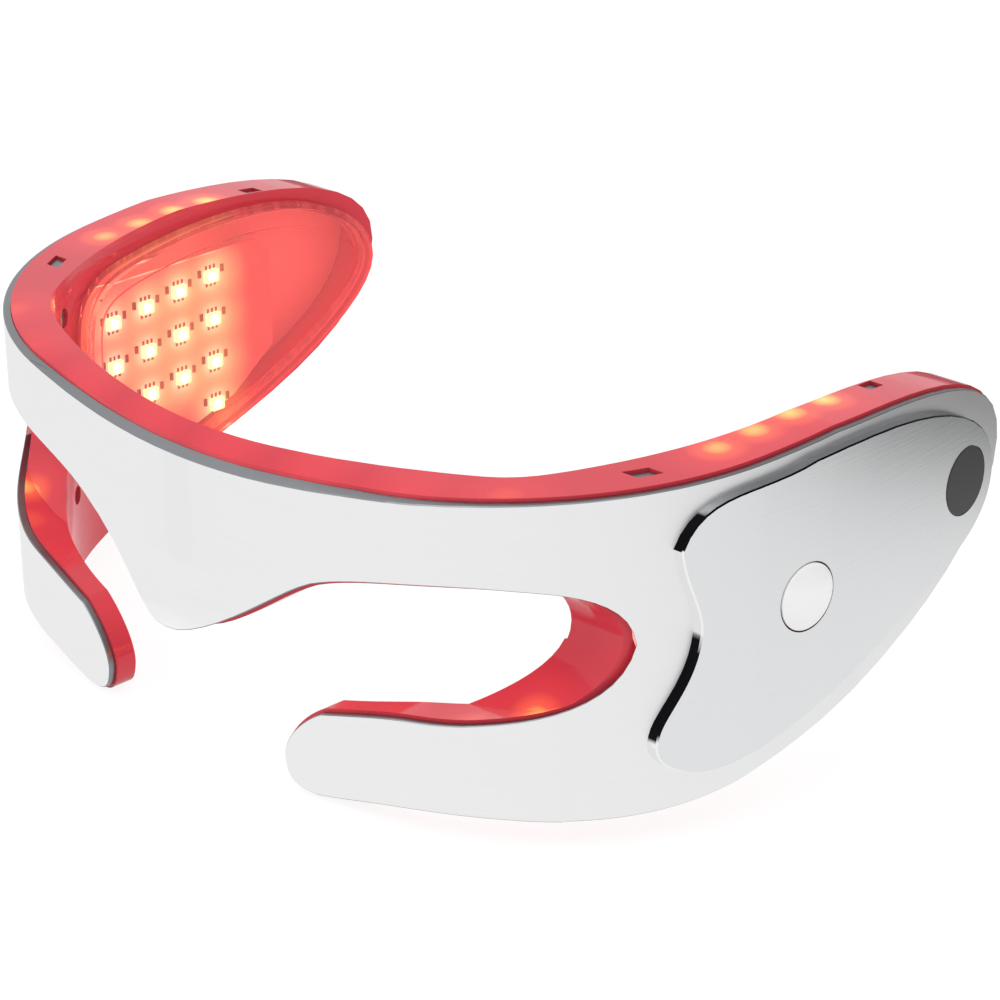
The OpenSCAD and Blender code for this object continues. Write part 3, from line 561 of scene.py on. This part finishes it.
def chamferedSheet(name, node, slot, face, edge, back, width, *holed):
    # sheet metal whose outer rim is broken by a small chamfer, with the cut edge in its own finish
    bm = mergedCopy(node)
    rim = [e for e in bm.edges if isCorner(e) and max(outward(f) for f in e.link_faces) > sheets["outerRim"]
           and not any(nearBox(e, n) for n in holed)]
    cut = sheets["edgeFace"]
    side = {f for f in bm.faces if abs(outward(f)) < cut or abs(f.normal.z) > cut}
    for f in bm.faces:
        f.material_index = 1 if f in side else 2 if outward(f) < 0 else 0
    bmesh.ops.bevel(bm, geom=rim, offset=width, offset_type="OFFSET", segments=1, profile=0.5,
                    affect="EDGES", clamp_overlap=False, loop_slide=False, material=1)
    mesh = easedMesh(name, bm)
    for finish in (face, edge, back):
        mesh.materials.append(finish)
    return addPiece(name, mesh, slot, node)


def roundedLook(mesh, node, fullness):
    # lets a low cap catch the light as a fuller dome does
    low, high = (Vector(c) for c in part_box(node))
    centre, radius = (low + high) / 2, (high.z - low.z) / 2
    out = wallNormal(centre)
    looks = [n.vector.copy() for n in mesh.corner_normals]
    for i, look in enumerate(looks):
        if look.dot(out) > sheets["capTop"]:
            away = mesh.vertices[mesh.loops[i].vertex_index].co - centre
            looks[i] = (out + (away - out * away.dot(out)) / radius * fullness).normalized()
    mesh.normals_split_custom_set([tuple(n) for n in looks])


def smoothPiece(name, node, slot, finish, rounding=0, body="mask", fullness=0):
    # a moulded piece with its corners eased and its curves shaded smooth
    bm = mergedCopy(node)
    if rounding:
        bmesh.ops.bevel(bm, geom=[e for e in bm.edges if isCorner(e)], offset=rounding, offset_type="OFFSET",
                        segments=1, profile=0.5, affect="EDGES", clamp_overlap=True, loop_slide=False)
    mesh = easedMesh(name, bm)
    if fullness:
        roundedLook(mesh, node, fullness)
    mesh.materials.append(finish)
    return addPiece(name, mesh, slot, node, body=body)


chamferedSheet("shell_sheet", "outer_shell", "white_shell", shellSteel, cutEdge, reflector, sheets["shellChamfer"])
chamferedSheet("left_plate_sheet", "left_cover_plate", "brushed_plate", plateSteel, polishedEdge, plateSteel,
               sheets["plateChamfer"], "power_button", "side_disc")
chamferedSheet("right_plate_sheet", "right_cover_plate", "brushed_plate", plateSteel, polishedEdge, plateSteel,
               sheets["plateChamfer"])
smoothPiece("liner_moulding", "face_liner", "red_liner", redLiner)
smoothPiece("left_window_pane", "left_temple_window", "red_window", redWindow)
smoothPiece("right_window_pane", "right_temple_window", "red_window", redWindow)
smoothPiece("button_cap", "power_button", "white_button", whiteCap, body="button",
            fullness=sheets["buttonFullness"])
smoothPiece("disc_cap", "side_disc", "dark_disc", darkDisc, rounding=sheets["discRounding"])
say("sheets and mouldings eased")


def repeatTree():
    # one small piece set on every seat
    tree = bpy.data.node_groups.new("Repeat on seats", "GeometryNodeTree")
    for name, kind in (("Seats", "Geometry"), ("Piece", "Object"), ("Finish", "Material"), ("Size", "Float")):
        tree.interface.new_socket(name, in_out="INPUT", socket_type="NodeSocket" + kind)
    tree.interface.new_socket("Pieces", in_out="OUTPUT", socket_type="NodeSocketGeometry")
    given = addNode(tree, "NodeGroupInput", (-600, 0))
    turn = addNode(tree, "GeometryNodeInputNamedAttribute", (-600, -300), {"data_type": "QUATERNION"},
                   {"Name": "turn"})
    piece = addNode(tree, "GeometryNodeObjectInfo", (-400, -150), links={"Object": given.outputs["Piece"]})
    placed = addNode(tree, "GeometryNodeInstanceOnPoints", (-100, 0),
                     links={"Points": given.outputs["Seats"], "Instance": piece.outputs["Geometry"],
                            "Rotation": turn.outputs["Attribute"], "Scale": given.outputs["Size"]})
    real = addNode(tree, "GeometryNodeRealizeInstances", (100, 0), links={"Geometry": placed.outputs["Instances"]})
    dressed = addNode(tree, "GeometryNodeSetMaterial", (300, 0),
                      links={"Geometry": real.outputs["Geometry"], "Material": given.outputs["Finish"]})
    addNode(tree, "NodeGroupOutput", (500, 0), links={"Pieces": dressed.outputs["Geometry"]})
    return tree


repeats = repeatTree()


def setOnSeats(name, seats, template, finish, slot, *stands):
    cloud = bpy.data.meshes.new(name + "_seats")
    cloud.from_pydata([tuple(p) for p, turn in seats], [], [])
    turns = cloud.attributes.new("turn", "QUATERNION", "POINT")
    for i, (p, turn) in enumerate(seats):
        turns.data[i].value = tuple(turn)
    holder = bpy.data.objects.new(name + "_holder", cloud)
    bpy.context.scene.collection.objects.link(holder)
    live = holder.modifiers.new("Repeat", "NODES")
    live.node_group = repeats
    sockets = {s.name: s.identifier for s in repeats.interface.items_tree if s.in_out == "INPUT"}
    live[sockets["Piece"]] = template
    live[sockets["Finish"]] = finish
    live[sockets["Size"]] = 1.0
    bpy.context.view_layer.update()
    ready = holder.evaluated_get(bpy.context.evaluated_depsgraph_get())
    mesh = bpy.data.meshes.new_from_object(ready)
    mesh.name = name
    bpy.data.objects.remove(holder)
    mesh.set_sharp_from_angle(angle=meshing["detailAngle"])
    return addPiece(name, mesh, slot, *stands)


def templateObject(name, bm):
    mesh = bpy.data.meshes.new(name)
    bm.normal_update()
    for f in bm.faces:
        f.smooth = True
    bm.to_mesh(mesh)
    bm.free()
    made = bpy.data.objects.new(name, mesh)
    bpy.context.scene.collection.objects.link(made)
    return made


def roundRing(bm, radius, z):
    steps = meshing["roundSteps"]
    turns = [2 * math.pi * i / steps for i in range(steps)]
    return [bm.verts.new((math.cos(a) * radius, math.sin(a) * radius, z)) for a in turns]


def boxRing(bm, halfX, halfY, z):
    # as many corners as a round ring has, pushed out to a rectangle
    steps = meshing["roundSteps"]
    ring = []
    for i in range(steps):
        x, y = math.cos(2 * math.pi * i / steps), math.sin(2 * math.pi * i / steps)
        k = 1 / max(abs(x) / halfX, abs(y) / halfY)
        ring.append(bm.verts.new((x * k, y * k, z)))
    return ring


def closedRings(name, bm, rings):
    # walls from each ring to the next, closed at both ends
    for low, high in zip(rings, rings[1:]):
        n = len(low)
        for i in range(n):
            bm.faces.new((low[i], low[(i + 1) % n], high[(i + 1) % n], high[i]))
    bm.faces.new(rings[-1])
    bm.faces.new(list(reversed(rings[0])))
    return templateObject(name, bm)


def lampHousing():
    halfX, halfY, top = lamp["size"][0] / 2, lamp["size"][1] / 2, lamp["size"][2]
    r = lamp["round"]
    bm = bmesh.new()
    rings = [boxRing(bm, halfX, halfY, 0), boxRing(bm, halfX, halfY, top - r),
             boxRing(bm, halfX - r, halfY - r, top), roundRing(bm, lamp["well"], top),
             roundRing(bm, lamp["lens"], top - lamp["wellDepth"])]
    return closedRings("lamp_housing_form", bm, rings)


def lampLens():
    bm = bmesh.new()
    foot = lamp["size"][2] - lamp["wellDepth"] + lamp["lensLift"]
    rings = [roundRing(bm, lamp["lens"] * k, foot + lamp["lensDome"] * (1 - k * k)) for k in (1.0, 0.8, 0.5)]
    return closedRings("lamp_lens_form", bm, rings)


def blocks(name, boxes, rounding):
    bm = bmesh.new()
    for centre, size in boxes:
        made = bmesh.ops.create_cube(bm, size=1.0)["verts"]
        bmesh.ops.scale(bm, vec=size, verts=made)
        bmesh.ops.translate(bm, vec=centre, verts=made)
    bmesh.ops.bevel(bm, geom=list(bm.edges), offset=rounding, segments=1, affect="EDGES", profile=0.5)
    return templateObject(name, bm)


def lampPads():
    pad, pitch = lamp["pad"], lamp["padPitch"]
    out = lamp["size"][1] / 2 + pad[1] / 2 - lamp["padTuck"]
    spots = [(x, side * out, pad[2] / 2) for side in (-1, 1) for x in (-pitch, 0.0, pitch)]
    return blocks("lamp_pad_form", [(p, pad) for p in spots], lamp["padRound"])


def chipBody():
    w, l, h = lamp["chip"]
    body = (w * lamp["chipWaist"], l - 2 * lamp["chipCap"], h)
    return blocks("chip_body_form", [((0, 0, h / 2), body)], lamp["chipRound"])


def chipCaps():
    w, l, h = lamp["chip"]
    cap = lamp["chipCap"]
    ends = [((0, side * (l - cap) / 2, h / 2), (w, cap, h)) for side in (-1, 1)]
    return blocks("chip_cap_form", ends, lamp["capRound"])


forms = {"housing": lampHousing(), "lens": lampLens(), "pads": lampPads(), "chip": chipBody(), "caps": chipCaps()}
for n in lampNodes:
    stem = n.replace("leds", "lamp")
    setOnSeats(stem + "_housings", lampSeats[n], forms["housing"], lampBody, "led_lens", n)
    setOnSeats(stem + "_lenses", lampSeats[n], forms["lens"], lampPhosphor, "led_lens")
    setOnSeats(stem + "_pads", lampSeats[n], forms["pads"], darkPad, "circuit_board")
chipSeats = [seatOf(c, lamp["chip"]) for c in islands("board_resistors")]
setOnSeats("resistor_bodies", chipSeats, forms["chip"], chipCeramic, "chip_ceramic", "board_resistors")
setOnSeats("resistor_caps", chipSeats, forms["caps"], darkPad, "chip_ceramic")
for form in forms.values():
    bpy.data.objects.remove(form)
say("lamps and resistors set")


view = {
    "camera": (0.3755, -0.3569, 0.2520),
    "target": (0.01815, 0.00288, 0.03448),
    "roll": -0.384,  # degrees
    "lens": 108.26,  # millimetres on a sensor 36 wide
    "world": 0.88,
    "overhead": 1.2,
    "front": 1.9,
}
bpy.context.scene.view_settings.view_transform = "Standard"


def pointAt(place, target, roll=0.0):
    back = (Vector(place) - Vector(target)).normalized()
    right = Vector((0, 0, 1)).cross(back).normalized()
    up = back.cross(right)
    turn = Matrix((right, up, back)).transposed() @ Matrix.Rotation(math.radians(roll), 3, "Z")
    return Matrix.Translation(place) @ turn.to_4x4()


lens = bpy.data.cameras.new("Camera")
lens.lens = view["lens"]
lens.sensor_width = 36.0
lens.clip_start = 0.01
camera = bpy.data.objects.new("Camera", lens)
camera.matrix_world = pointAt(view["camera"], view["target"], view["roll"])
bpy.context.scene.collection.objects.link(camera)
bpy.context.scene.camera = camera


def softbox(name, place, target, size, power):
    lightData = bpy.data.lights.new(name, "AREA")
    lightData.shape = "RECTANGLE"
    lightData.size, lightData.size_y = size
    lightData.energy = power
    made = bpy.data.objects.new(name, lightData)
    made.matrix_world = pointAt(place, target)
    bpy.context.scene.collection.objects.link(made)


softbox("Overhead softbox", (0.1, -0.2, 0.9), (0, 0, 0), (0.9, 0.9), view["overhead"])
softbox("Front softbox", (-0.3, -0.8, 0.9), (0, 0, 0.03), (0.7, 0.5), view["front"])

studio = {
    "roomSide": (0.8, 0.6, 0.0),  # the way in which the room gets dim
    "roomTones": [(0.0, 0.9), (0.5, 0.85), (0.85, 0.5), (1.0, 0.22)],
    "floorSide": (0.35, 0.94, 0.0),  # the way in which the mirrored floor gets dark
    "floorFade": 0.25,  # over what distance, in metres
    "floorTones": [(0.0, 0.95), (0.5, 0.93), (0.68, 0.84), (0.8, 0.53), (0.9, 0.2), (1.0, 0.13)],
    "floorHalf": 3,
    "floorDrop": 0.0003,  # how far the floor lies under the mask's lowest point
    "paperLit": 0.85,  # what the paper gives back to the mask
    "paperShade": 0.17,  # how much of a shadow the camera sees on it
    "paperLift": 0.89,
}


def sideTone(tree, output, way, low, high, stops):
    # a grey that goes with how far something lies to one side
    spot = addNode(tree, "ShaderNodeTexCoord", (-1300, 0))
    lean = addNode(tree, "ShaderNodeVectorMath", (-1100, 0), {"operation": "DOT_PRODUCT"}, {1: way},
                   {0: spot.outputs[output]})
    return toneRamp(tree, (-900, 0), lean.outputs["Value"], low, high, stops)


def rayKinds(tree):
    # whether a ray sees things directly, from the camera or through glass, and whether it is a reflection
    ray = addNode(tree, "ShaderNodeLightPath", (-700, 400))
    seen = addNode(tree, "ShaderNodeMath", (-500, 400), {"operation": "MAXIMUM"},
                   links={0: ray.outputs["Is Camera Ray"], 1: ray.outputs["Is Transmission Ray"]})
    return seen.outputs["Value"], ray.outputs["Is Glossy Ray"]


# rays that see directly find plain white, and shiny metal sees a room that is dim at the right
room = bpy.data.worlds.new("Pale studio")
bpy.context.scene.world = room
room.use_nodes = True
tree = room.node_tree
tree.nodes.clear()
dim = sideTone(tree, "Generated", studio["roomSide"], -1.0, 1.0, studio["roomTones"])
direct, reflected = rayKinds(tree)
plainTone = addNode(tree, "ShaderNodeMix", (-400, 0), {"data_type": "RGBA"}, {mixA: grey(view["world"])},
                    {"Factor": reflected, mixB: dim})
skyTone = addNode(tree, "ShaderNodeMix", (-200, 0), {"data_type": "RGBA"}, {mixB: grey(1.0)},
                  {"Factor": direct, mixA: plainTone.outputs[mixed]})
sky = addNode(tree, "ShaderNodeBackground", (0, 0), links={"Color": skyTone.outputs[mixed]})
addNode(tree, "ShaderNodeOutputWorld", (200, 0), links={"Surface": sky.outputs["Background"]})

# white paper: the camera sees it near white with a faint shadow, the mask gets its light back, and shiny metal
# mirrors it as white in front of the mask and dark behind it
half = studio["floorHalf"]
floorMesh = bpy.data.meshes.new("floor")
floorMesh.from_pydata([(-half, -half, 0), (half, -half, 0), (half, half, 0), (-half, half, 0)], [], [(0, 1, 2, 3)])
floorPiece = bpy.data.objects.new("floor", floorMesh)
floorPiece.location.z = cadBox[0][2] - studio["floorDrop"]
bpy.context.scene.collection.objects.link(floorPiece)
paper, tree = newMaterial("White studio paper")
dusk = sideTone(tree, "Object", studio["floorSide"], 0.0, studio["floorFade"], studio["floorTones"])
direct, reflected = rayKinds(tree)
matt = addNode(tree, "ShaderNodeBsdfDiffuse", (-300, 300), values={"Color": grey(studio["paperLit"])})
pale = addNode(tree, "ShaderNodeBsdfDiffuse", (-300, 150), values={"Color": grey(studio["paperShade"])})
lift = addNode(tree, "ShaderNodeEmission", (-300, 0), values={"Color": grey(1.0), "Strength": studio["paperLift"]})
both = addNode(tree, "ShaderNodeAddShader", (0, 100), links={0: pale.outputs["BSDF"], 1: lift.outputs["Emission"]})
mirror = addNode(tree, "ShaderNodeEmission", (0, -150), links={"Color": dusk})
looked = addNode(tree, "ShaderNodeMixShader", (250, 200),
                 links={0: direct, 1: matt.outputs["BSDF"], 2: both.outputs["Shader"]})
final = addNode(tree, "ShaderNodeMixShader", (500, 0),
                links={0: reflected, 1: looked.outputs["Shader"], 2: mirror.outputs["Emission"]})
finishMaterial(tree, final.outputs["Shader"])
floorMesh.materials.append(paper)
say("room ready")
